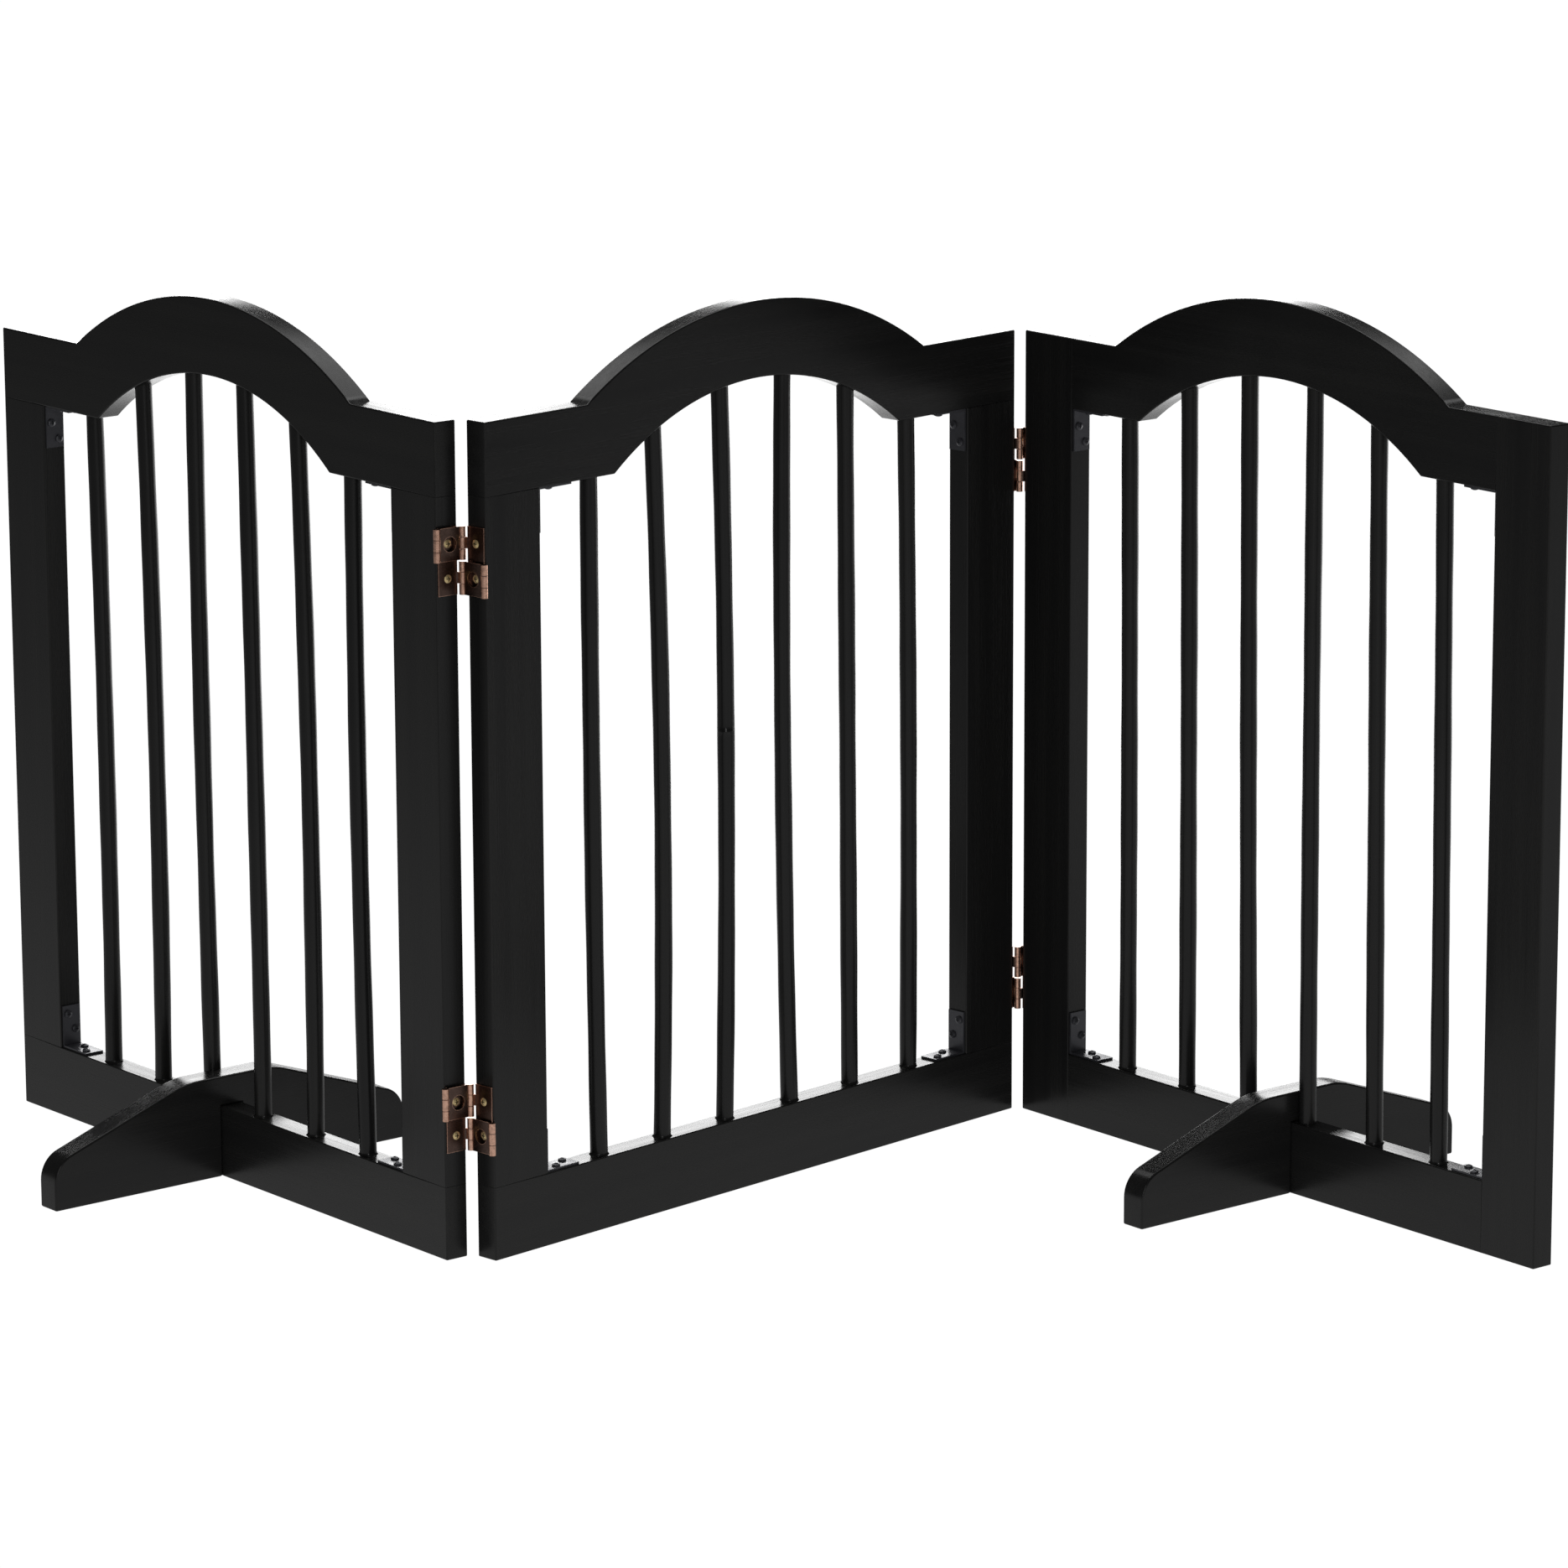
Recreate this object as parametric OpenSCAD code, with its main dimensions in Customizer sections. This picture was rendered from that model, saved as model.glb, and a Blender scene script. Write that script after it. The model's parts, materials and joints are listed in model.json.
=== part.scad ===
// Freestanding folding pet gate: three arched, barred panels joined by double-action hinges, and two lift-off feet.
// The middle panel stands along X and its front faces -Y. The left panel folds back and the right one forward.
// The origin is on the floor, under the centre of the middle panel. Millimetres, Z up.

/* [Panels] */
// Width of each panel
panel_w = 510; // [420:5:620]
// Height of a panel at its ends
side_h = 560; // [460:5:680]
// Rise of the arched top edge above the ends
arch_rise = 50; // [30:1:70]
// Straight length of the top edge at each end of a panel
arch_shoulder = 93; // [70:1:120]
// Thickness of the frame boards
board_t = 17; // [15:0.5:22]
// Width of the stiles
stile_w = 49; // [38:1:60]
// Height of the bottom rail
bottom_rail_h = 50; // [40:1:62]
// Height of the top rail at its ends
top_rail_h = 49; // [40:1:60]
// Height of the top rail at the middle of its arch
crown_h = 52; // [42:1:64]
// Straight length of the top rail's lower edge, from the end of the panel to its hollow
hollow_shoulder = 118; // [95:1:140]

/* [Bars] */
// Number of bars in a panel
bar_count = 6; // [6:2:6]
// Diameter of a bar
bar_d = 11.8; // [9:0.1:13]
// Distance from a stile to the axis of the nearest bar
bar_margin = 53; // [45:1:62]
// Depth of the socket at each end of a bar
bar_seat = 15; // [8:1:24]
// Radial clearance of a bar in its socket
bar_play = 0.05; // [0.02:0.01:0.1]

/* [Corner brackets] */
// Length of each leg
bracket_leg = 30; // [28:1:38]
// Width across the board
bracket_w = 14; // [13:0.5:15]
// Thickness of the bracket
bracket_t = 1.5; // [1:0.1:2.5]
// Distance from the corner to the first screw of a leg
bracket_hole_1 = 12.5; // [11:0.5:14]
// Distance from the corner to the second screw of a leg
bracket_hole_2 = 24; // [22:0.5:25]
// Offset of the two screws to either side of the leg's centre line
bracket_stagger = 3; // [1:0.5:3.5]

/* [Hinges] */
// Gap between two panels that stand in line
fold_gap = 6.8; // [6.2:0.1:9]
// Height of a hinge
hinge_h = 45; // [40:1:56]
// Gap between the two halves of a hinge
half_gap = 1; // [0.6:0.1:2]
// Distance from the ends' top to the centre of the upper hinges
hinge_below_top = 91.5; // [85:0.5:130]
// Height of the centre of the lower hinges
hinge_above_floor = 96; // [90:1:130]
// Diameter of a hinge pin
pin_d = 2.4; // [2:0.1:2.6]
// Radial clearance of a pin in its knuckles
pin_play = 0.05; // [0.02:0.01:0.1]
// Diameter of the knuckles
barrel_d = 4.6; // [4.4:0.1:5.4]
// Distance from a panel's face to the pin axes beside it
pin_out = 1.6; // [1.2:0.1:3]
// Thickness of the leaves and of the links
plate_t = 1.1; // [0.9:0.1:1.3]
// Margin of a leaf inside the faces of its board
leaf_margin = 1; // [0.6:0.1:2]
// Height of the leaf's knuckle, between the two knuckles of a link
leaf_knuckle_h = 7.6; // [6:0.1:9]
// End play between knuckles
knuckle_gap = 0.2; // [0.1:0.05:0.4]
// Diameter of the hole in a link that a screwdriver passes through
access_d = 10; // [8:0.5:11]

/* [Screws] */
// Diameter of the shanks
screw_d = 3; // [2.5:0.1:3.4]
// Length of a hinge screw
hinge_screw_l = 16; // [10:1:24]
// Length of a bracket screw
bracket_screw_l = 14; // [8:1:22]
// Diameter of the screw heads
head_d = 5.6; // [5:0.1:6]
// Height of a bracket screw's rim
head_rim = 1; // [0.5:0.1:1.5]
// Height of the domed top of a head
head_dome = 0.9; // [0.5:0.1:1.2]
// Radial clearance of a screw in its hole
screw_play = 0.05; // [0.02:0.01:0.2]

/* [Feet] */
// Length of a foot
foot_l = 290; // [220:5:330]
// Height of a foot
foot_h = 71; // [66:1:90]
// Thickness of a foot
foot_t = 19; // [15:0.5:22]
// Length of the flat top of a foot, to the corners of its outline
foot_flat = 72; // [50:1:100]
// Height of the corners at the ends of a foot's outline
foot_end_h = 33; // [28:1:40]
// Radius of the end corners
foot_end_r = 20; // [10:1:24]
// Radius of the blends at the ends of the flat top
foot_top_r = 60; // [20:1:80]
// Clearance between a foot and the rail that it straddles
foot_play = 0.25; // [0.15:0.05:0.5]
// Gap between a foot and the bar beside it
foot_bar_gap = 0.6; // [0.3:0.1:3]

/* [Stance] */
// Angle that each outer panel is folded from straight
fold_angle = 97.3; // [0:0.1:140]

/* [Hidden] */
$fn = 96;
PANELS = ["left", "middle", "right"];
FOLDS = ["left", "right"];
LEVELS = ["upper", "lower"];
BARS = [1:bar_count];
eps = 1;

// Where a panel stands in the row: -1, 0 or 1
function side(p) = p == "left" ? -1 : p == "right" ? 1 : 0;
// The rails of the left and middle panels run to the panel's ends, and the stiles of the right one do
function long_rails(p) = p != "right";

clear_w = panel_w - 2 * stile_w;
rail_z = side_h - top_rail_h;
pitch = panel_w + fold_gap;
pin_y = board_t / 2 + pin_out;
function bar_x(k) = -clear_w / 2 + bar_margin + (k - 1) * (clear_w - 2 * bar_margin) / (bar_count - 1);

// Radius of the circle through an arch's two ends and its crown
function arch_r(half_chord, rise) = (pow(half_chord, 2) + pow(rise, 2)) / (2 * rise);
arch_half = panel_w / 2 - arch_shoulder;
arch_radius = arch_r(arch_half, arch_rise);
hollow_half = panel_w / 2 - hollow_shoulder;
hollow_z = side_h + arch_rise - crown_h;
hollow_radius = arch_r(hollow_half, hollow_z - rail_z);
// Height of the top rail's lower edge above the floor at x
function under_rail(x) =
    abs(x) < hollow_half ? hollow_z - hollow_radius + sqrt(pow(hollow_radius, 2) - pow(x, 2)) : rail_z;

half_h = (hinge_h - half_gap) / 2;
half_z = (half_h + half_gap) / 2;
link_knuckle_h = (half_h - leaf_knuckle_h) / 2 - knuckle_gap;
hinge_z = [side_h - hinge_below_top, hinge_above_floor];
pin_hole_d = pin_d + 2 * pin_play;
screw_hole_d = screw_d + 2 * screw_play;
screw_point = 4;
recess_l = 3;
recess_w = 0.7;
recess_deep = 1.1;

module on_panel(p) {
    pivot = [side(p) * pitch / 2, -side(p) * pin_y, 0];
    translate(pivot) rotate([0, 0, -abs(side(p)) * fold_angle]) translate(-pivot)
        translate([side(p) * pitch, 0, 0]) children();
}

// Stands an outline that is drawn in x and height up as a board
module board(thickness) rotate([90, 0, 0]) linear_extrude(thickness, center = true) children();

// ---- screws ----

module screw_shank(length) {
    translate([0, 0, screw_point - length]) cylinder(h = length - screw_point, d = screw_d);
    translate([0, 0, -length]) cylinder(h = screw_point, d1 = 0.4, d2 = screw_d);
}

// The domed top of a head, standing on z, with its cross recess
module dome_top(z) {
    r = arch_r(head_d / 2, head_dome);
    difference() {
        translate([0, 0, z]) intersection() {
            translate([0, 0, head_dome - r]) sphere(r);
            cylinder(h = head_dome, d = head_d);
        }
        cross_recess(z);
    }
}

module cross_recess(z) translate([0, 0, z + head_dome - recess_deep / 2])
    for (turn = [0, 90]) rotate(turn) cube([recess_l, recess_w, recess_deep], center = true);

// A screw's seat is z = 0 and its shank points down
module bracket_screw() color([0.05, 0.05, 0.05]) {
    screw_shank(bracket_screw_l);
    difference() {
        cylinder(h = head_rim, d = head_d);
        cross_recess(head_rim);
    }
    dome_top(head_rim);
}

// The countersunk head fills the leaf's thickness, and z = 0 is the board's edge
module hinge_screw() color([0.72, 0.56, 0.28]) {
    screw_shank(hinge_screw_l);
    difference() {
        cylinder(h = plate_t, d1 = screw_d, d2 = head_d);
        cross_recess(plate_t);
    }
    dome_top(plate_t);
}

module countersink() cylinder(h = plate_t, d1 = screw_hole_d, d2 = head_d + 2 * screw_play);

module pilot(length) translate([0, 0, -length - eps]) cylinder(h = length + 2 * eps, d = screw_hole_d);

// ---- corner brackets: in the corner's own frame the stile is at x < 0 and the rail at z < 0 ----

// The middle panel's lower brackets are turned over, which swaps their legs
module at_corners(p) for (right = [0, 1], top = [0, 1])
    translate([(right - 0.5) * clear_w, 0, top ? rail_z : bottom_rail_h])
        rotate([180 * top, 0, 180 * right]) rotate(p == "middle" && top == 0 ? 180 : 0, [1, 0, 1]) children();

module at_corner_screws() for (hole = [[bracket_hole_1, 1], [bracket_hole_2, -1]]) {
    translate([hole[0], hole[1] * bracket_stagger, 0]) children();
    translate([0, hole[1] * bracket_stagger, hole[0]]) rotate([0, 90, 0]) children();
}

module corner_bracket() difference() {
    translate([0, -bracket_w / 2, 0]) union() {
        cube([bracket_leg, bracket_w, bracket_t]);
        cube([bracket_t, bracket_w, bracket_leg]);
    }
    at_corner_screws() translate([0, 0, -eps]) cylinder(h = bracket_t + 2 * eps, d = screw_hole_d);
}

module corner_brackets(p) color([0.06, 0.06, 0.06]) on_panel(p) at_corners(p) corner_bracket();

module bracket_screws(p) on_panel(p) at_corners(p) at_corner_screws()
    translate([0, 0, bracket_t]) bracket_screw();

// ---- hinges: in a hinge's own frame the panels' edges are at x = -fold_gap/2 and fold_gap/2 ----

// Where a panel's hinges are: the end of the panel, -1 or 1
function hinge_ends(p) = p == "left" ? [1] : p == "right" ? [-1] : [-1, 1];

module at_hinge(end, z) translate([end * pitch / 2, 0, z]) children();

// Puts what stands on a panel's edge at both screws of each of its hinges, pointing away from the wood
module at_hinge_screws(p) for (end = hinge_ends(p), z = hinge_z, half = [-1, 1])
    translate([end * panel_w / 2, 0, z + half * half_z]) rotate([0, end * 90, 0]) children();

module barrel(height) translate([0, 0, -height / 2]) cylinder(h = height, d = barrel_d);

module pin_hole(y) translate([0, y, -hinge_h]) cylinder(h = 2 * hinge_h, d = pin_hole_d);

// The leaf of the panel on the -X side: its upper knuckle is at the front and its lower one at the back
module leaf() difference() {
    union() {
        translate([-fold_gap / 2, leaf_margin - board_t / 2, -hinge_h / 2])
            cube([plate_t, board_t - 2 * leaf_margin, hinge_h]);
        for (half = [-1, 1]) translate([0, 0, half * half_z]) mirror([0, (half + 1) / 2, 0]) {
            translate([0, pin_y, 0]) barrel(leaf_knuckle_h);
            leaf_neck();
        }
    }
    for (half = [-1, 1]) {
        pin_hole(half * pin_y);
        translate([-fold_gap / 2, 0, half * half_z]) rotate([0, 90, 0]) countersink();
    }
}

// The bend that carries a leaf's plate into the wall of its knuckle
module leaf_neck() translate([0, 0, -leaf_knuckle_h / 2]) linear_extrude(leaf_knuckle_h) polygon([
    [-fold_gap / 2, board_t / 2 - leaf_margin - eps],
    [plate_t - fold_gap / 2, board_t / 2 - leaf_margin - eps],
    [plate_t - barrel_d / 2, pin_y],
    [-barrel_d / 2, pin_y]
]);

// A link between the two pins of one half of a hinge
module link() difference() {
    union() {
        cube([plate_t, 2 * pin_y - pin_hole_d, half_h], center = true);
        for (y = [-pin_y, pin_y], end = [-1, 1])
            translate([0, y, end * (half_h - link_knuckle_h) / 2]) barrel(link_knuckle_h);
    }
    for (y = [-pin_y, pin_y]) {
        pin_hole(y);
        translate([0, y, 0])
            cube([barrel_d, barrel_d + 2 * knuckle_gap, half_h - 2 * link_knuckle_h], center = true);
    }
    rotate([0, 90, 0]) cylinder(h = 2 * plate_t, d = access_d, center = true);
}

module hinge_leaf_a(fold, z) color([0.42, 0.27, 0.17])
    on_panel(fold == "left" ? "left" : "middle") at_hinge(1, z) leaf();

module hinge_leaf_b(fold, z) color([0.42, 0.27, 0.17])
    on_panel(fold == "left" ? "middle" : "right") at_hinge(-1, z) rotate([0, 0, 180]) leaf();

// The links of a fold stay against the panels as they do when it turns on the pins of its closed side:
// the left fold on the back pins, the right fold on the front ones
module hinge_link_top(fold, z) color([0.46, 0.29, 0.17])
    on_panel(fold) at_hinge(-side(fold), z + half_z) link();

module hinge_link_bottom(fold, z) color([0.46, 0.29, 0.17])
    on_panel("middle") at_hinge(side(fold), z - half_z) link();

// Each leaf holds a pin at the front and one at the back, an upper one and a lower one
module hinge_pins(p) color([0.6, 0.43, 0.25]) on_panel(p)
    for (end = hinge_ends(p), z = hinge_z, half = [-1, 1]) at_hinge(end, z + half * half_z)
        translate([0, -end * half * pin_y, -half_h / 2]) cylinder(h = half_h, d = pin_d);

module hinge_screws(p) on_panel(p) at_hinge_screws(p) hinge_screw();

// ---- frame of a panel ----

module screw_pilots(p) {
    at_corners(p) at_corner_screws() pilot(bracket_screw_l);
    at_hinge_screws(p) pilot(hinge_screw_l);
}

// The circle segment of an arch over the height z
module arch(half_chord, radius, z, rise) intersection() {
    translate([0, z + rise - radius]) circle(radius);
    translate([-half_chord, z - eps]) square([2 * half_chord, rise + 2 * eps]);
}

function rail_l(p) = long_rails(p) ? panel_w : clear_w;

module top_rail(p) color([0.09, 0.09, 0.09]) on_panel(p) difference() {
    board(board_t) difference() {
        union() {
            translate([-rail_l(p) / 2, rail_z]) square([rail_l(p), top_rail_h]);
            arch(arch_half, arch_radius, side_h, arch_rise);
        }
        translate([0, hollow_z - hollow_radius]) circle(hollow_radius);
    }
    for (k = BARS) translate([bar_x(k), 0, rail_z - eps])
        cylinder(h = under_rail(bar_x(k)) + bar_seat - rail_z + eps, d = bar_d + 2 * bar_play);
    screw_pilots(p);
}

module bottom_rail(p) color([0.09, 0.09, 0.09]) on_panel(p) difference() {
    board(board_t) translate([-rail_l(p) / 2, 0]) square([rail_l(p), bottom_rail_h]);
    for (k = BARS) translate([bar_x(k), 0, bottom_rail_h - bar_seat])
        cylinder(h = bar_seat + eps, d = bar_d + 2 * bar_play);
    screw_pilots(p);
}

module stile(p, end) color([0.09, 0.09, 0.09]) on_panel(p) difference() {
    board(board_t) translate([end * (panel_w - stile_w) / 2 - stile_w / 2, long_rails(p) ? bottom_rail_h : 0])
        square([stile_w, long_rails(p) ? rail_z - bottom_rail_h : side_h]);
    screw_pilots(p);
}

module bar(p, k) color([0.11, 0.11, 0.11]) on_panel(p)
    translate([bar_x(k), 0, bottom_rail_h - bar_seat])
        cylinder(h = under_rail(bar_x(k)) + 2 * bar_seat - bottom_rail_h, d = bar_d);

// ---- feet ----

function unit(v) = v / norm(v);

// Distance from the corner b, between a and c, to the ends of its rounding
function round_run(a, b, c, r) = r / tan(acos(unit(a - b) * unit(c - b)) / 2);
// End of the rounding of the corner b on its side towards a, where c is on its other side
function round_end(a, b, c, r) = b + round_run(a, b, c, r) * unit(a - b);

// The pie whose arc rounds the corner b, between a and c, to the radius r
module round_pie(a, b, c, r) {
    centre = b + unit(unit(a - b) + unit(c - b)) * norm([r, round_run(a, b, c, r)]);
    rays = [round_end(a, b, c, r) - centre, round_end(c, b, a, r) - centre];
    intersection() {
        translate(centre) circle(r);
        polygon([centre, centre + 2 * rays[0], centre + 2 * rays[1]]);
    }
}

module foot_outline() {
    heel = [foot_l / 2, 0];
    end_corner = [foot_l / 2, foot_end_h];
    top_corner = [foot_flat / 2, foot_h];
    top_middle = [0, foot_h];
    difference() {
        for (m = [0, 1]) mirror([m, 0]) {
            polygon([
                [-eps, 0],
                heel,
                round_end(heel, end_corner, top_corner, foot_end_r),
                round_end(top_corner, end_corner, heel, foot_end_r),
                round_end(end_corner, top_corner, top_middle, foot_top_r),
                round_end(top_middle, top_corner, end_corner, foot_top_r),
                [-eps, foot_h]
            ]);
            round_pie(heel, end_corner, top_corner, foot_end_r);
            round_pie(end_corner, top_corner, top_middle, foot_top_r);
        }
        translate([-board_t / 2 - foot_play, -eps])
            square([board_t + 2 * foot_play, bottom_rail_h + foot_play + eps]);
    }
}

// A foot stands across its panel, beside a bar of the middle gap: the left foot's is on its left, the
// right foot's on its right
function foot_x(p) = bar_x(bar_count / 2 + (side(p) + 1) / 2)
    - side(p) * (bar_d / 2 + foot_bar_gap + foot_t / 2);

module foot(p) color([0.1, 0.1, 0.1]) on_panel(p)
    translate([foot_x(p), 0, 0]) rotate([0, 0, 90]) board(foot_t) foot_outline();

for (p = PANELS) {
    top_rail(p);
    bottom_rail(p);
    stile(p, -1);
    stile(p, 1);
    for (k = BARS) bar(p, k);
    corner_brackets(p);
    bracket_screws(p);
    hinge_pins(p);
    hinge_screws(p);
}
for (f = FOLDS, l = [0, 1]) {
    hinge_leaf_a(f, hinge_z[l]);
    hinge_leaf_b(f, hinge_z[l]);
    hinge_link_top(f, hinge_z[l]);
    hinge_link_bottom(f, hinge_z[l]);
}
foot("left");  // left_foot
foot("right");  // right_foot
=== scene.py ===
"""Looks of the folding pet gate: three black arched panels, antique hinges and two feet, on a white floor.

A panel's own frame has x across the panel, y from its front to its back and z up, with the origin on the
floor under the panel's centre. The middle panel's own frame is the shared frame. Sizes that end in _MM are in
millimetres, and other lengths are in metres. The sizes of the arches and the feet repeat the CAD part's, and
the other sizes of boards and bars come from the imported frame.
"""

import json
import math

import bmesh
import bpy
from mathutils import Matrix, Vector


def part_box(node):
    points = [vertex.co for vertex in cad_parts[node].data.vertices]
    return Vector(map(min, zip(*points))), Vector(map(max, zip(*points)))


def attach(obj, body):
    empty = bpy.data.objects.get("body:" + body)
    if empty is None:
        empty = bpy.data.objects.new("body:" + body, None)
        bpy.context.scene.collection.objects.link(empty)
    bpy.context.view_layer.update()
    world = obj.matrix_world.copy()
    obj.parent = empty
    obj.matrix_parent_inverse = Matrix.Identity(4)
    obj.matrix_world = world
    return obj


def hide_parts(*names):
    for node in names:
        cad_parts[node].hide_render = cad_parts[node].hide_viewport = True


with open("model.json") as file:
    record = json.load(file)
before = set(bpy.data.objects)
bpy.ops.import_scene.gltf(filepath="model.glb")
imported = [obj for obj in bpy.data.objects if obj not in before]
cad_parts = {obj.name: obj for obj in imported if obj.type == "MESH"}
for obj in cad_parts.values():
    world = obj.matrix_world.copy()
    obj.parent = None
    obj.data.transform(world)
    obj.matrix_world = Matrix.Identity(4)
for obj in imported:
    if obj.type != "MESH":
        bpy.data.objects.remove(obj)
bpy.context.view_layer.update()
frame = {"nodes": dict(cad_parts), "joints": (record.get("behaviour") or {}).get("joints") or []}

MM = 0.001
PANELS = ("left", "middle", "right")
FOLDS = ("left", "right")
BARS_PER_PANEL = 6
JOINTS = {joint["name"]: joint for joint in frame["joints"]}

# ---- sizes ----

rail_low, rail_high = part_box("middle_panel_bottom_rail")
stile_low, stile_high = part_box("middle_panel_left_stile")
PANEL_W = rail_high.x - rail_low.x
BOARD_T = rail_high.y - rail_low.y
BOTTOM_RAIL_H = rail_high.z
STILE_W = stile_high.x - stile_low.x
RAIL_Z = stile_high.z
CLEAR_W = PANEL_W - 2 * STILE_W
SIDE_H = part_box("right_panel_left_stile")[1].z
CROWN_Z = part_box("middle_panel_top_rail")[1].z

ARCH_SHOULDER_MM = 93
HOLLOW_SHOULDER_MM = 118
CROWN_H_MM = 52
ARCH_HALF = PANEL_W / 2 - ARCH_SHOULDER_MM * MM
HOLLOW_HALF = PANEL_W / 2 - HOLLOW_SHOULDER_MM * MM
HOLLOW_Z = CROWN_Z - CROWN_H_MM * MM

FOOT_L_MM = 290
FOOT_FLAT_MM = 72
FOOT_END_H_MM = 33
FOOT_END_R_MM = 20
FOOT_TOP_R_MM = 60
FOOT_T_MM = 19
FOOT_PLAY_MM = 0.25
FOOT_BAR_GAP_MM = 0.6
FOOT_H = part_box("left_foot")[1].z

# Arrises of the panels' boards and of the feet, and the smaller easing of edges in joints
ARRIS_MM = 1.0
FOOT_ARRIS_MM = 1.4
JOINT_EASE_MM = 0.2

# How far each bar stands aside from its straight line at its foot, middle and head, to the panel's right.
# The real bars are thin turned rods, and all of them bow a little.
BAR_SWAY_MM = {
    "left": ((1.5, 2.5, -1), (2.5, 4.5, -1), (3, 0, 0), (2.5, 1.5, -1.5), (3, 4, -2), (3, -1, -0.5)),
    "middle": ((3, 0, -0.5), (1, 4.5, -3), (0.5, 4.5, -0.5), (4, -1.5, -0.5), (3, 1.5, -0.5), (1.5, 2, -1)),
    "right": ((0.5, 0, -2), (1, -0.5, -3), (2.5, -2, -4.5), (0.2, -1.5, -2), (4, 0.5, -2), (4, 1.5, -1.5)),
}


def panel_matrix(panel):
    """Places a panel's own frame in the shared frame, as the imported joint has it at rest."""
    if panel == "middle":
        return Matrix.Identity(4)
    fold = JOINTS[panel + "_fold"]
    pivot = Vector(fold["pos_m"])
    turn = Matrix.Rotation(math.radians(fold["range_deg"][0]), 4, "Z")
    beside_middle = Matrix.Translation((2 * pivot.x, 0, 0))
    return Matrix.Translation(pivot) @ turn @ Matrix.Translation(-pivot) @ beside_middle


# ---- helpers ----


def add_object(name, data):
    thing = bpy.data.objects.new(name, data)
    bpy.context.scene.collection.objects.link(thing)
    return thing


def new_material(name):
    """An empty node material: the material, its node adder and its link adder."""
    material = bpy.data.materials.new(name)
    material.use_nodes = True
    tree = material.node_tree
    tree.nodes.clear()

    def add(kind, **values):
        node = tree.nodes.new(kind)
        for key, value in values.items():
            if hasattr(node, key):
                setattr(node, key, value)
            else:
                node.inputs[key.replace("_", " ")].default_value = value
        return node

    return material, add, tree.links.new


def surface(add, link, shader):
    link(shader.outputs[0], add("ShaderNodeOutputMaterial").inputs["Surface"])


def vector_math(add, link, operation, first, second):
    """The first term is a socket, and the second is a socket or three numbers."""
    node = add("ShaderNodeVectorMath", operation=operation)
    link(first, node.inputs[0])
    if isinstance(second, (tuple, list)):
        node.inputs[1].default_value = second
    else:
        link(second, node.inputs[1])
    return node.outputs[0]


def noise_texture(add, link, vector, scale, detail=3.0, roughness=0.5):
    node = add("ShaderNodeTexNoise", Scale=scale, Detail=detail, Roughness=roughness)
    link(vector, node.inputs["Vector"])
    return node.outputs["Fac"]


def map_range(add, link, value, low, high, to_low, to_high):
    node = add("ShaderNodeMapRange")
    link(value, node.inputs["Value"])
    for socket, number in (("From Min", low), ("From Max", high), ("To Min", to_low), ("To Max", to_high)):
        node.inputs[socket].default_value = number
    return node.outputs["Result"]


def arithmetic(add, link, operation, *terms):
    node = add("ShaderNodeMath", operation=operation)
    for socket, term in zip(node.inputs, terms):
        if isinstance(term, (int, float)):
            socket.default_value = term
        else:
            link(term, socket)
    return node.outputs[0]


def mix_colour(add, link, factor, first, second):
    node = add("ShaderNodeMix", data_type="RGBA")
    link(factor, node.inputs[0])
    for socket, value in ((node.inputs[6], first), (node.inputs[7], second)):
        if isinstance(value, tuple):
            socket.default_value = (*value, 1)
        else:
            link(value, socket)
    return node.outputs[2]


def bump(add, link, height, strength, distance, normal=None):
    node = add("ShaderNodeBump", Strength=strength, Distance=distance)
    link(height, node.inputs["Height"])
    if normal is not None:
        link(normal, node.inputs["Normal"])
    return node.outputs["Normal"]


# ---- materials ----

GRAIN_SEED_STEP = 0.37
STREAKS_ACROSS = 520.0
STREAKS_ALONG = 14.0
BANDS_TO_STREAKS = 0.16
PAINT_PEEL = 900.0
PAINT_DARK = (0.017, 0.017, 0.0172)
PAINT_WORN = (0.023, 0.0228, 0.022)


def painted_wood(name, grain_axis):
    """Black satin paint, brushed along the grain of the wood below it. A board's seed moves its pattern."""
    material, add, link = new_material(name)
    place = add("ShaderNodeTexCoord").outputs["Object"]
    seed = add("ShaderNodeAttribute", attribute_name="seed").outputs["Fac"]
    shifted = vector_math(add, link, "ADD", place, seed)
    stretch = [STREAKS_ACROSS] * 3
    stretch[grain_axis] = STREAKS_ALONG
    along = vector_math(add, link, "MULTIPLY", shifted, stretch)
    streaks = noise_texture(add, link, along, 1.0, 4.0, 0.6)
    wide = vector_math(add, link, "MULTIPLY", shifted, [s * BANDS_TO_STREAKS for s in stretch])
    bands = noise_texture(add, link, wide, 1.0, 2.0)
    peel = noise_texture(add, link, shifted, PAINT_PEEL, 2.0)
    worn = map_range(add, link, bands, 0.3, 0.7, 0.0, 1.0)
    shader = add("ShaderNodeBsdfPrincipled")
    link(mix_colour(add, link, worn, PAINT_DARK, PAINT_WORN), shader.inputs["Base Color"])
    rough = arithmetic(add, link, "ADD", streaks, arithmetic(add, link, "MULTIPLY", bands, 0.8))
    link(map_range(add, link, rough, 0.6, 1.2, 0.20, 0.32), shader.inputs["Roughness"])
    shader.inputs["Specular IOR Level"].default_value = 0.3
    coat = bump(add, link, peel, 0.03, 0.00005)
    link(bump(add, link, streaks, 0.05, 0.00006, coat), shader.inputs["Normal"])
    surface(add, link, shader)
    return material


STEEL_DARK = (0.055, 0.056, 0.064)
STEEL_WORN = (0.100, 0.101, 0.114)


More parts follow.
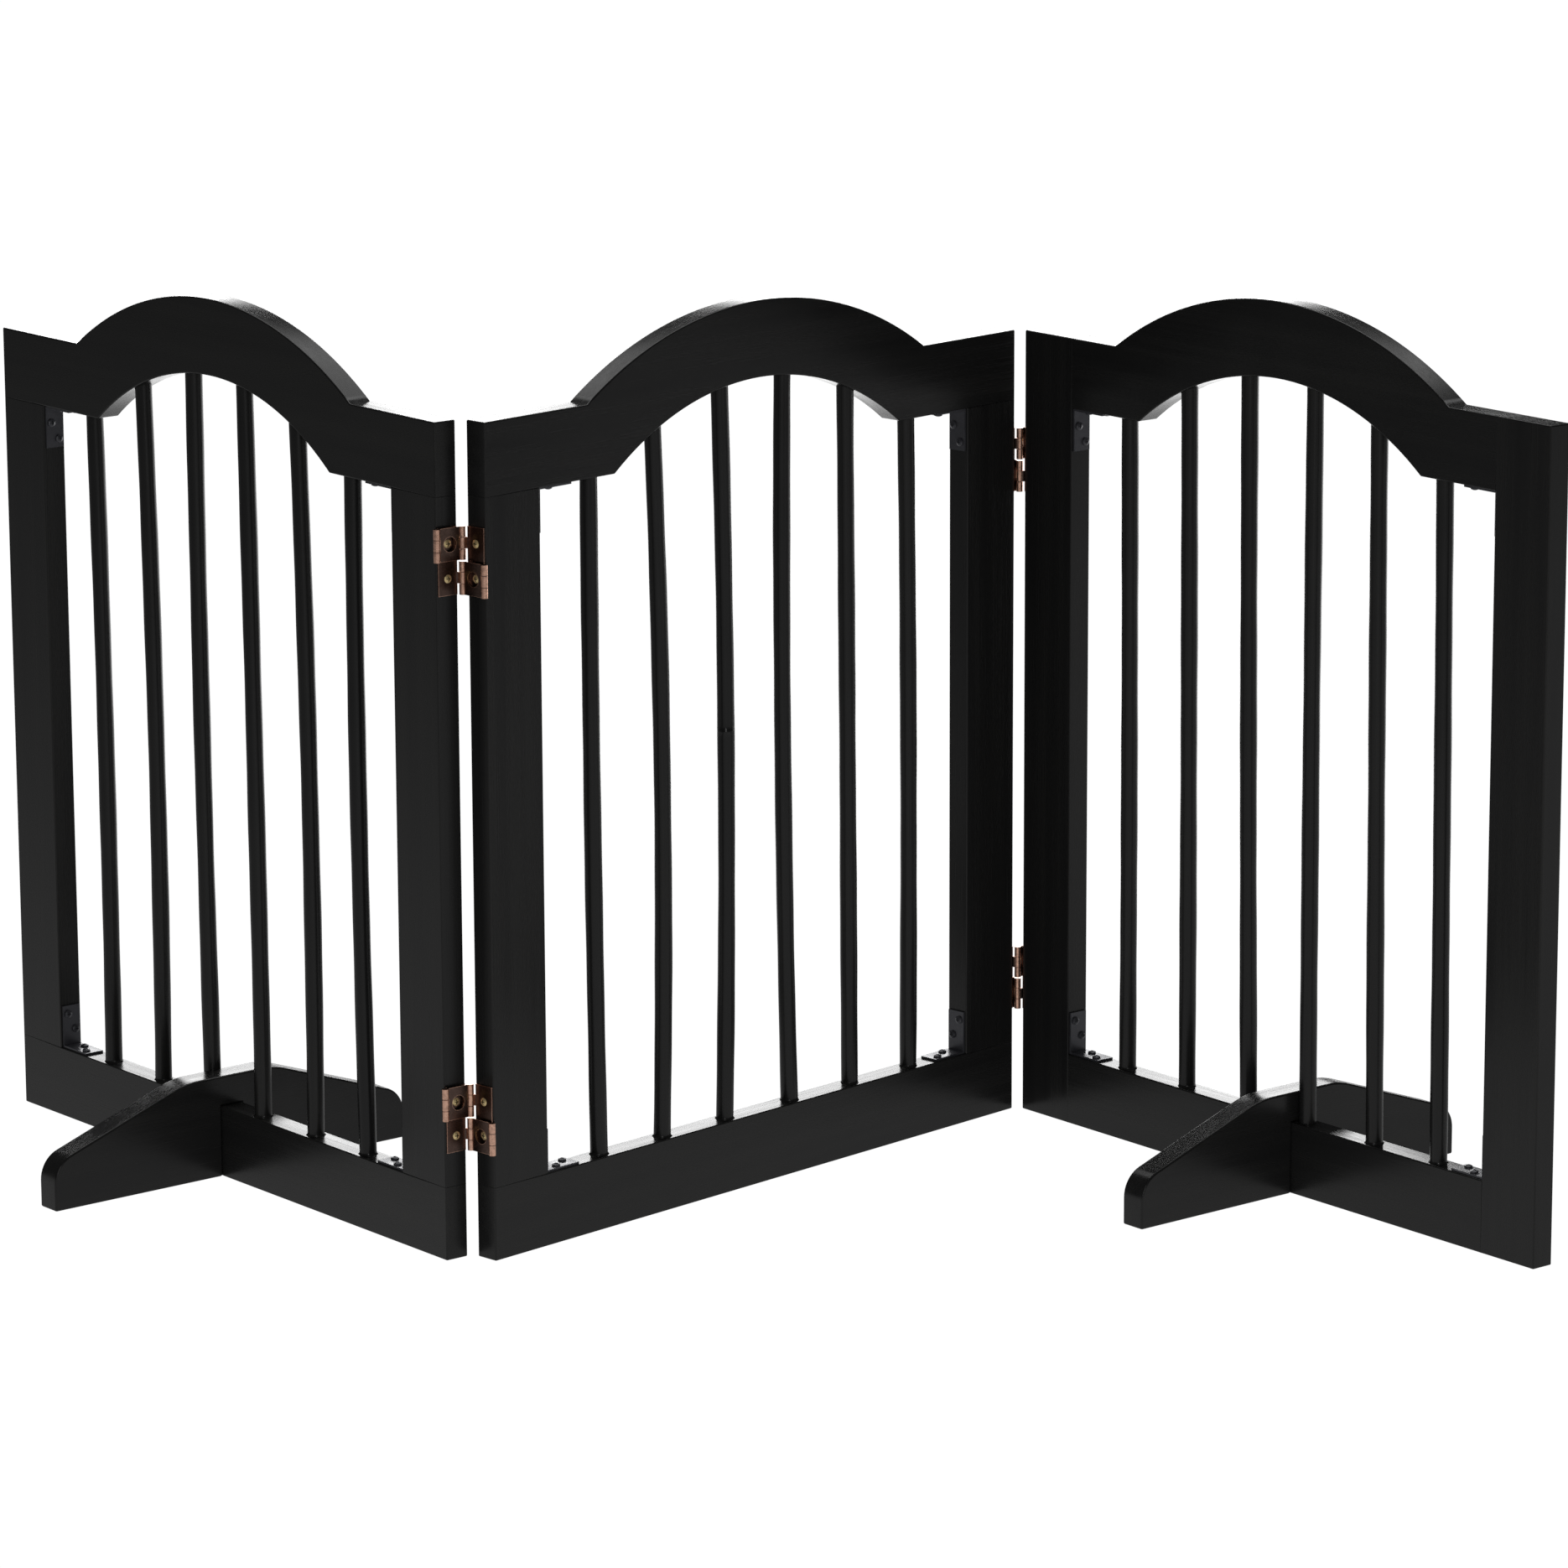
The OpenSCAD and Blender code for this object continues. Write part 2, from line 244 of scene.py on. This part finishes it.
def coated_steel():
    """Black coated steel of the corner brackets and their screws."""
    material, add, link = new_material("coated_steel")
    place = add("ShaderNodeTexCoord").outputs["Object"]
    grit = noise_texture(add, link, place, 1400.0, 3.0)
    patches = noise_texture(add, link, place, 90.0, 2.0)
    shader = add("ShaderNodeBsdfPrincipled", Metallic=0.35)
    link(mix_colour(add, link, patches, STEEL_DARK, STEEL_WORN), shader.inputs["Base Color"])
    link(map_range(add, link, patches, 0.3, 0.7, 0.26, 0.42), shader.inputs["Roughness"])
    link(bump(add, link, grit, 0.15, 0.00005), shader.inputs["Normal"])
    surface(add, link, shader)
    return material


# Cosine of the angle between the rounded and the true normal where wear starts, and where it is full
WEAR_STARTS = 0.99
WEAR_FULL = 0.80


def edge_wear(add, link, radius):
    """0 on flat surfaces, rising to 1 at edges, where the rounded normal leaves the true one."""
    rounded = add("ShaderNodeBevel", Radius=radius)
    rounded.samples = 8
    true = add("ShaderNodeNewGeometry").outputs["Normal"]
    both = add("ShaderNodeVectorMath", operation="DOT_PRODUCT")
    link(rounded.outputs[0], both.inputs[0])
    link(true, both.inputs[1])
    return map_range(add, link, both.outputs["Value"], WEAR_STARTS, WEAR_FULL, 0.0, 1.0)


def near_axes(add, link, place, axes, radius):
    """1 within a radius of any of the upright axes, and 0 beyond it."""
    found = None
    for x, y in axes:
        apart = vector_math(add, link, "SUBTRACT", place, (x, y, 0))
        level = vector_math(add, link, "MULTIPLY", apart, (1, 1, 0))
        length = add("ShaderNodeVectorMath", operation="LENGTH")
        link(level, length.inputs[0])
        inside = arithmetic(add, link, "LESS_THAN", length.outputs["Value"], radius)
        found = inside if found is None else arithmetic(add, link, "MAXIMUM", found, inside)
    return found


BRONZE_DARK = (0.075, 0.050, 0.042)
BRONZE_LIGHT = (0.170, 0.110, 0.090)
WORN_COPPER = (0.95, 0.57, 0.42)
WORN_EDGE_MM = 0.7
SEAM_DEPTH = 0.85


def antique_bronze(name, axes, knuckle_radius):
    """Dark bronze plate, worn to copper along its edges and on the knuckles, which have dark seams."""
    material, add, link = new_material(name)
    place = add("ShaderNodeTexCoord").outputs["Object"]
    mottle = noise_texture(add, link, place, 420.0, 4.0, 0.6)
    fine = noise_texture(add, link, place, 2600.0, 3.0)
    knuckle = near_axes(add, link, place, axes, knuckle_radius)
    rubbed = map_range(add, link, mottle, 0.35, 0.55, 0.60, 1.0)
    edge = edge_wear(add, link, WORN_EDGE_MM * MM)
    seam = arithmetic(add, link, "MULTIPLY_ADD", edge, -SEAM_DEPTH, 1.0)
    barrel = arithmetic(add, link, "MULTIPLY", arithmetic(add, link, "MULTIPLY", knuckle, rubbed), seam)
    plate = arithmetic(add, link, "MULTIPLY", edge, arithmetic(add, link, "SUBTRACT", 1.0, knuckle))
    wear = arithmetic(add, link, "MAXIMUM", barrel, plate)
    dark = mix_colour(add, link, mottle, BRONZE_DARK, BRONZE_LIGHT)
    shader = add("ShaderNodeBsdfPrincipled", Metallic=1.0)
    link(mix_colour(add, link, wear, dark, WORN_COPPER), shader.inputs["Base Color"])
    link(map_range(add, link, fine, 0.3, 0.7, 0.20, 0.34), shader.inputs["Roughness"])
    link(bump(add, link, fine, 0.2, 0.00004), shader.inputs["Normal"])
    surface(add, link, shader)
    return material


BRASS_DARK = (0.85, 0.62, 0.27)
BRASS_LIGHT = (1.0, 0.82, 0.46)
# Colour of the painted shade that darkens the screws' recesses
BRASS_PAINTED_SHADE = (0.05, 0.03, 0.015)
RECESS_REACH_MM = 1.2


def yellow_brass():
    """Brass-plated hinge screws, with painted shade darkening the recesses."""
    material, add, link = new_material("yellow_brass")
    place = add("ShaderNodeTexCoord").outputs["Object"]
    mottle = noise_texture(add, link, place, 900.0, 3.0)
    hollow = add("ShaderNodeAmbientOcclusion", Distance=RECESS_REACH_MM * MM)
    hollow.samples = 8
    # Painted shade: the recesses turn dark as far as ambient occlusion finds them hollow.
    painted_shade = map_range(add, link, hollow.outputs["AO"], 0.35, 0.85, 1.0, 0.0)
    clean = mix_colour(add, link, mottle, BRASS_DARK, BRASS_LIGHT)
    shader = add("ShaderNodeBsdfPrincipled", Metallic=0.6)
    link(mix_colour(add, link, painted_shade, clean, BRASS_PAINTED_SHADE), shader.inputs["Base Color"])
    link(map_range(add, link, mottle, 0.3, 0.7, 0.30, 0.45), shader.inputs["Roughness"])
    link(bump(add, link, mottle, 0.2, 0.00004), shader.inputs["Normal"])
    surface(add, link, shader)
    return material


WOOD = {
    "x": painted_wood("painted_wood_across", 0),
    "z": painted_wood("painted_wood_upright", 2),
}
COATED_STEEL = coated_steel()
BRASS = yellow_brass()

# ---- outlines, as corners (x, z) going anticlockwise as seen from the front ----

HOLLOW_STEPS = 40
ARCH_STEPS = 48
FILLET_STEPS = 10


def arch_points(half_chord, z, rise, steps, to_right):
    """The points of an arch, its two ends included."""
    radius = (half_chord**2 + rise**2) / (2 * rise)
    half_turn = math.asin(half_chord / radius)
    turns = [half_turn * (2 * i / steps - 1) for i in range(steps + 1)]
    points = [(radius * math.sin(t), z + rise - radius + radius * math.cos(t)) for t in turns]
    return points if to_right else points[::-1]


def fillet(before, corner, after, radius):
    """The points of a corner's rounding."""
    to_before = (Vector(before) - Vector(corner)).normalized()
    to_after = (Vector(after) - Vector(corner)).normalized()
    half = to_before.angle(to_after) / 2
    centre = Vector(corner) + (to_before + to_after).normalized() * (radius / math.sin(half))
    start = Vector(corner) + to_before * (radius / math.tan(half)) - centre
    sweep = math.pi - 2 * half
    turns = [sweep * i / FILLET_STEPS for i in range(FILLET_STEPS + 1)]
    return [tuple(centre + Matrix.Rotation(t, 2) @ start) for t in turns]


def top_rail_outline(half_length):
    lower = [(-half_length, RAIL_Z)]
    if half_length > CLEAR_W / 2:
        lower.append((-CLEAR_W / 2, RAIL_Z))
    hollow = arch_points(HOLLOW_HALF, RAIL_Z, HOLLOW_Z - RAIL_Z, HOLLOW_STEPS, to_right=True)
    arch = arch_points(ARCH_HALF, SIDE_H, CROWN_Z - SIDE_H, ARCH_STEPS, to_right=False)
    return [
        *lower,
        *hollow,
        *[(-x, z) for x, z in reversed(lower)],
        (half_length, SIDE_H),
        *arch,
        (-half_length, SIDE_H),
    ]


def bottom_rail_outline(half_length):
    upper = [(half_length, BOTTOM_RAIL_H)]
    if half_length > CLEAR_W / 2:
        upper.append((CLEAR_W / 2, BOTTOM_RAIL_H))
    return [(-half_length, 0), (half_length, 0), *upper, *[(-x, z) for x, z in reversed(upper)]]


def stile_outline(end, full_height):
    """A stile at the panel's end -1 or 1. A full-height one has a corner where each rail's edge meets it."""
    outer, inner = end * PANEL_W / 2, end * CLEAR_W / 2
    bottom, top = (0, SIDE_H) if full_height else (BOTTOM_RAIL_H, RAIL_Z)
    levels = [0, BOTTOM_RAIL_H, RAIL_Z, SIDE_H] if full_height else [bottom, top]
    points = [(outer, bottom), (outer, top), *[(inner, z) for z in reversed(levels)]]
    return points if end > 0 else points[::-1]


def foot_outline():
    """A foot as seen from its end of the panel, in the plane of y and z."""
    half, flat = FOOT_L_MM * MM / 2, FOOT_FLAT_MM * MM / 2
    heel, end, top = (half, 0), (half, FOOT_END_H_MM * MM), (flat, FOOT_H)
    slot = BOARD_T / 2 + FOOT_PLAY_MM * MM
    slot_top = BOTTOM_RAIL_H + FOOT_PLAY_MM * MM
    right = [
        (slot, slot_top),
        (slot, 0),
        heel,
        *fillet(heel, end, top, FOOT_END_R_MM * MM),
        *fillet(end, top, (0, FOOT_H), FOOT_TOP_R_MM * MM),
    ]
    return [*right, *[(-x, z) for x, z in reversed(right)]]


# ---- boards ----

# Corners that turn outward by more than the first angle are rounded. Inward ones past the second are sharp.
ROUNDED_TURN = math.radians(25)
SHARP_TURN = math.radians(10)
BEVEL_SEGMENTS = 3


def add_seeded(name, bm, seed):
    """Makes an object of a finished mesh. The seed moves the pattern of its paint."""
    mesh = bpy.data.meshes.new(name)
    bm.to_mesh(mesh)
    bm.free()
    values = mesh.attributes.new("seed", "FLOAT", "POINT")
    values.data.foreach_set("value", [seed * GRAIN_SEED_STEP] * len(mesh.vertices))
    return add_object(name, mesh)


def in_joint(panel, kind, start, end):
    """Whether a side of a board's outline lies against another board of the panel."""
    middle_x, middle_z = (start[0] + end[0]) / 2, (start[1] + end[1]) / 2
    at_inner_side = abs(abs(middle_x) - CLEAR_W / 2) < MM
    if panel == "right":
        beside_rail = not BOTTOM_RAIL_H < middle_z < RAIL_Z
        return at_inner_side and beside_rail
    if kind == "stile":
        return abs(start[0] - end[0]) > MM
    inner_z = BOTTOM_RAIL_H if kind == "bottom_rail" else RAIL_Z
    return abs(middle_x) > CLEAR_W / 2 and abs(middle_z - inner_z) < MM


def make_board(name, outline, joints, thickness, arris, seed):
    """Extrudes an outline into a board centred on y = 0. Its arrises are rounded. The sides in joints, given
    by the corners they start from, are only eased, so that butted boards show a fine line between them."""
    bm = bmesh.new()
    count = len(outline)
    eased = JOINT_EASE_MM * MM / arris
    weight = bm.edges.layers.float.new("bevel_weight_edge")
    front = [bm.verts.new((x, -thickness / 2, z)) for x, z in outline]
    back = [bm.verts.new((x, thickness / 2, z)) for x, z in outline]
    bm.faces.new(front)
    bm.faces.new(back[::-1])
    for i in range(count):
        j = (i + 1) % count
        bm.faces.new((front[j], front[i], back[i], back[j]))
        for ring in (front, back):
            bm.edges.get((ring[i], ring[j]))[weight] = eased if i in joints else 1.0
    for i in range(count):
        before, here, after = (Vector(outline[(i + step) % count]) for step in (-1, 0, 1))
        arriving, leaving = here - before, after - here
        turn = math.atan2(arriving.x * leaving.y - arriving.y * leaving.x, arriving.dot(leaving))
        across = bm.edges.get((front[i], back[i]))
        if turn > ROUNDED_TURN:
            butted = i in joints or (i - 1) % count in joints
            across[weight] = eased if butted else 1.0
        elif turn < -SHARP_TURN:
            across.smooth = False
    for face in bm.faces:
        face.smooth = True
    board = add_seeded(name, bm, seed)
    rounding = board.modifiers.new("rounding", "BEVEL")
    rounding.limit_method = "WEIGHT"
    rounding.width = arris
    rounding.segments = BEVEL_SEGMENTS
    shading = board.modifiers.new("shading", "WEIGHTED_NORMAL")
    shading.keep_sharp = True
    return board


def put(piece, matrix, node, body, material):
    """Places a piece that stands for a CAD node."""
    piece.matrix_world = matrix
    piece.data.materials.append(material)
    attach(piece, body)
    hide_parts(node)


def make_frame_boards(panel, first_seed):
    long_rails = panel != "right"
    rail_half = (PANEL_W if long_rails else CLEAR_W) / 2
    outlines = {
        "top_rail": top_rail_outline(rail_half),
        "bottom_rail": bottom_rail_outline(rail_half),
        "left_stile": stile_outline(-1, not long_rails),
        "right_stile": stile_outline(1, not long_rails),
    }
    for number, (kind, outline) in enumerate(outlines.items()):
        node = f"{panel}_panel_{kind}"
        sides = zip(range(len(outline)), outline, outline[1:] + outline[:1])
        family = "stile" if kind.endswith("stile") else kind
        joints = [i for i, start, end in sides if in_joint(panel, family, start, end)]
        board = make_board("painted_" + node, outline, joints, BOARD_T, ARRIS_MM * MM, first_seed + number)
        grain = WOOD["z"] if family == "stile" else WOOD["x"]
        put(board, panel_matrix(panel), node, panel + "_panel", grain)


# ---- bars ----

BAR_SIDES = 24
BAR_STEPS = 44
COLLAR_MM = 1.1
COLLAR_H_MM = 1.6
COLLAR_STEPS = 4
COLLAR_UNEVEN = 0.25
# The bars that stand beside the feet have no collar
BESIDE_FEET = (("left", 3), ("right", 4))
# Slow and quick unevenness of a bar's thickness: how much, radians per metre of height, radians per seed
UNEVEN_MM = ((0.12, 31, 2.1), (0.07, 97, 5.3))
KNOT_BAR = ("middle", 3)
KNOT_Z = 0.32
KNOT_MM = 0.9
KNOT_REACH_MM = 3.5
KNOT_FACES = math.radians(225)
KNOT_STEPS = 4


def sway_at(sway, share):
    """Sideways offset of a bar's axis at a share of its height, on the parabola through three offsets."""
    foot, middle, head = sway
    at_foot = foot * (1 - share) * (1 - 2 * share)
    at_middle = 4 * middle * share * (1 - share)
    at_head = head * share * (2 * share - 1)
    return (at_foot + at_middle + at_head) * MM


def bar_heights(low, high, knotted):
    """The heights of a bar's rings, closer together at its collar and its knot."""
    heights = [low + (high - low) * i / BAR_STEPS for i in range(BAR_STEPS + 1)]
    collar_steps = range(COLLAR_STEPS + 2)
    heights += [BOTTOM_RAIL_H + COLLAR_H_MM * MM * step / COLLAR_STEPS for step in collar_steps]
    if knotted:
        knot_steps = range(-KNOT_STEPS, KNOT_STEPS + 1)
        heights += [KNOT_Z + KNOT_REACH_MM * MM * step / KNOT_STEPS for step in knot_steps]
    return sorted(set(heights))


def knot_at(z, turn):
    """How far a knot stands out from its bar."""
    away = abs(z - KNOT_Z) / (KNOT_REACH_MM * MM)
    facing = max(0.0, math.cos(turn - KNOT_FACES))
    return KNOT_MM * MM * max(0.0, 1 - away) ** 2 * facing**3


def make_bar(panel, number, seed):
    """A slender turned rod that bows a little, with paint gathered in a collar where it leaves the rail."""
    node = f"{panel}_panel_bar_{number}"
    low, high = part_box(f"middle_panel_bar_{number}")
    centre, radius = (low + high) / 2, (high.x - low.x) / 2
    sway = BAR_SWAY_MM[panel][number - 1]
    knotted = (panel, number) == KNOT_BAR
    collar = 0.0 if (panel, number) in BESIDE_FEET else COLLAR_MM * MM
    bm = bmesh.new()
    rings = []
    for z in bar_heights(low.z, high.z, knotted):
        share = (z - low.z) / (high.z - low.z)
        above = (z - BOTTOM_RAIL_H) / (COLLAR_H_MM * MM)
        flare = collar * max(0.0, 1 - above) ** 2 if above >= 0 else collar
        uneven = sum(size * MM * math.sin(pace * z + phase * seed) for size, pace, phase in UNEVEN_MM)
        ring = []
        for side in range(BAR_SIDES):
            turn = 2 * math.pi * side / BAR_SIDES
            r = radius + flare * (1 - COLLAR_UNEVEN + COLLAR_UNEVEN * math.sin(2 * turn + seed)) + uneven
            if knotted:
                r += knot_at(z, turn)
            x = centre.x + sway_at(sway, share) + r * math.cos(turn)
            ring.append(bm.verts.new((x, centre.y + r * math.sin(turn), z)))
        rings.append(ring)
    for lower, upper in zip(rings, rings[1:]):
        for side in range(BAR_SIDES):
            after = (side + 1) % BAR_SIDES
            bm.faces.new((lower[side], lower[after], upper[after], upper[side])).smooth = True
    bm.faces.new(rings[0][::-1])
    bm.faces.new(rings[-1])
    bar = add_seeded("painted_" + node, bm, seed)
    put(bar, panel_matrix(panel), node, panel + "_panel", WOOD["z"])


# ---- feet ----


def make_foot(panel, seed):
    """A foot stands across its panel, between the two middle bars and beside the outer one."""
    side = -1 if panel == "left" else 1
    low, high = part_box(f"middle_panel_bar_{3 if panel == 'left' else 4}")
    bar_half = (high.x - low.x) / 2
    x = (low.x + high.x) / 2 - side * (bar_half + FOOT_BAR_GAP_MM * MM + FOOT_T_MM * MM / 2)
    node = panel + "_foot"
    foot = make_board("painted_" + node, foot_outline(), [], FOOT_T_MM * MM, FOOT_ARRIS_MM * MM, seed)
    turned = panel_matrix(panel) @ Matrix.Translation((x, 0, 0)) @ Matrix.Rotation(math.pi / 2, 4, "Z")
    put(foot, turned, node, node, WOOD["x"])


BOARDS_PER_PANEL = 4
FIRST_BAR_SEED = 20
FOOT_SEEDS = {"left": 50, "right": 51}

for index, panel in enumerate(PANELS):
    make_frame_boards(panel, BOARDS_PER_PANEL * index)
    for number in range(1, BARS_PER_PANEL + 1):
        make_bar(panel, number, FIRST_BAR_SEED + BARS_PER_PANEL * index + number)
for panel, seed in FOOT_SEEDS.items():
    make_foot(panel, seed)

# ---- CAD nodes that stay ----

KNUCKLE_RADIUS_MM = 2.45


def pin_axes(fold):
    """Where a fold's pins stand: two beside the middle panel, and the outer panel's other one."""
    x, shared_y = JOINTS[fold + "_fold"]["pos_m"][:2]
    far = panel_matrix(fold) @ Vector((-x, -shared_y, 0))
    return [(x, shared_y), (x, -shared_y), (far.x, far.y)]


def repaint(node, material):
    frame["nodes"][node].data.materials.clear()
    frame["nodes"][node].data.materials.append(material)


BRONZE = {
    fold: antique_bronze(fold + "_fold_bronze", pin_axes(fold), KNUCKLE_RADIUS_MM * MM) for fold in FOLDS
}
for fold in FOLDS:
    for level in ("upper", "lower"):
        for part in ("leaf_a", "leaf_b", "link_top", "link_bottom"):
            repaint(f"{fold}_{level}_hinge_{part}", BRONZE[fold])
for panel in PANELS:
    repaint(panel + "_panel_hinge_pins", BRONZE["left" if panel == "left" else "right"])
    repaint(panel + "_panel_hinge_screws", BRASS)
    repaint(panel + "_panel_corner_brackets", COATED_STEEL)
    repaint(panel + "_panel_bracket_screws", COATED_STEEL)

# ---- studio ----

CAMERA_PLACE = (-3.202, -3.093, 1.297)
CAMERA_YAW_DEG = 46.26
CAMERA_PITCH_DEG = 12.888
CAMERA_ROLL_DEG = 0.234
CAMERA_LENS_MM = 154.85
WHITE = 1.02


def make_camera():
    camera = add_object("camera", bpy.data.cameras.new("camera"))
    camera.data.lens = CAMERA_LENS_MM
    camera.matrix_world = (
        Matrix.Translation(CAMERA_PLACE)
        @ Matrix.Rotation(-math.radians(CAMERA_YAW_DEG), 4, "Z")
        @ Matrix.Rotation(math.radians(90 - CAMERA_PITCH_DEG), 4, "X")
        @ Matrix.Rotation(-math.radians(CAMERA_ROLL_DEG), 4, "Z")
    )
    bpy.context.scene.camera = camera


def glowing(name, strength):
    """A plain white glow."""
    material, add, link = new_material(name)
    surface(add, link, add("ShaderNodeEmission", Strength=strength))
    return material


def studio_place(along, aside, z):
    """A point that is so far behind the gate as the camera looks at it, and so far to the right."""
    yaw = math.radians(CAMERA_YAW_DEG)
    ahead = Vector((math.sin(yaw), math.cos(yaw), 0))
    right = Vector((math.cos(yaw), -math.sin(yaw), 0))
    return ahead * along + right * aside + Vector((0, 0, z))


FLOOR_NEAR = -3.0
FLOOR_SIDE = 4.0
PAPER_Z = -0.0002
PAPER_FAR = 10.0
FLOOR_LIGHT_Z = -0.001
FLOOR_LIGHT_FAR = 4.0


def floor_sheet(name, z, far, material):
    """A level sheet with its y axis along the camera's view, so that x runs to the camera's right."""
    mesh = bpy.data.meshes.new(name)
    corners = [(-FLOOR_SIDE, FLOOR_NEAR), (FLOOR_SIDE, FLOOR_NEAR), (FLOOR_SIDE, far), (-FLOOR_SIDE, far)]
    mesh.from_pydata([(x, y, z) for x, y in corners], [], [(0, 1, 2, 3)])
    mesh.materials.append(material)
    sheet = add_object(name, mesh)
    sheet.rotation_euler.z = -math.radians(CAMERA_YAW_DEG)
    return sheet


def make_floor():
    """A white paper floor, and below it the light that the floor throws on the gate. The light fades to the
    left and is strongest behind the gate."""
    paper = floor_sheet("floor", PAPER_Z, PAPER_FAR, glowing("white_paper", WHITE))
    paper.visible_glossy = False
    paper.visible_diffuse = False
    material, add, link = new_material("floor_light")
    across = add("ShaderNodeSeparateXYZ")
    link(add("ShaderNodeTexCoord").outputs["Object"], across.inputs[0])
    fading = map_range(add, link, across.outputs["X"], -2.2, -0.2, 0.20, 0.48)
    behind = map_range(add, link, across.outputs["Y"], 0.55, 1.0, 0.0, 2.0)
    central = map_range(add, link, across.outputs["X"], -0.8, -0.4, 0.0, 1.0)
    shader = add("ShaderNodeEmission")
    link(arithmetic(add, link, "MULTIPLY_ADD", behind, central, fading), shader.inputs["Strength"])
    surface(add, link, shader)
    light = floor_sheet("floor_light", FLOOR_LIGHT_Z, FLOOR_LIGHT_FAR, material)
    light.visible_camera = False


def make_backdrop(radius):
    """A white surround that only the camera sees, so that the background is white from any side."""
    mesh = bpy.data.meshes.new("backdrop")
    bm = bmesh.new()
    bmesh.ops.create_icosphere(bm, subdivisions=3, radius=radius)
    bm.to_mesh(mesh)
    bm.free()
    mesh.materials.append(glowing("white_surround", WHITE))
    backdrop = add_object("backdrop", mesh)
    backdrop.visible_diffuse = False
    backdrop.visible_glossy = False
    backdrop.visible_transmission = False
    backdrop.visible_shadow = False


def make_softbox(name, place, target, width, height, radiance):
    """A rectangular light, turned to a target, of a given brightness."""
    light = bpy.data.lights.new(name, "AREA")
    light.shape = "RECTANGLE"
    light.size, light.size_y = width, height
    light.energy = radiance * math.pi * width * height
    softbox = add_object(name, light)
    softbox.location = place
    softbox.rotation_mode = "QUATERNION"
    softbox.rotation_quaternion = (Vector(target) - Vector(place)).to_track_quat("-Z", "Y")
    softbox.visible_camera = False


def make_room(brightness):
    world = bpy.data.worlds.new("room")
    world.use_nodes = True
    background = world.node_tree.nodes["Background"]
    background.inputs["Color"].default_value = (1, 1, 1, 1)
    background.inputs["Strength"].default_value = brightness
    bpy.context.scene.world = world


GATE_BASE = (0, 0, 0)
GATE_MIDDLE = (0, 0, 0.4)
BACKDROP_RADIUS = 30.0
ROOM_BRIGHTNESS = 0.05

make_camera()
make_floor()
make_backdrop(BACKDROP_RADIUS)
rear = studio_place(along=2.4, aside=-0.25, z=0.88)
overhead = studio_place(along=1.5, aside=0, z=3.0)
front = studio_place(along=-3.6, aside=0.1, z=1.3)
make_softbox("rear_softbox", rear, GATE_MIDDLE, width=1.9, height=0.56, radiance=6.5)
make_softbox("overhead_softbox", overhead, GATE_BASE, width=3.6, height=2.0, radiance=1.6)
make_softbox("front_strip", front, GATE_MIDDLE, width=0.4, height=1.6, radiance=7.0)
make_room(ROOM_BRIGHTNESS)
bpy.context.scene.view_settings.view_transform = "Standard"
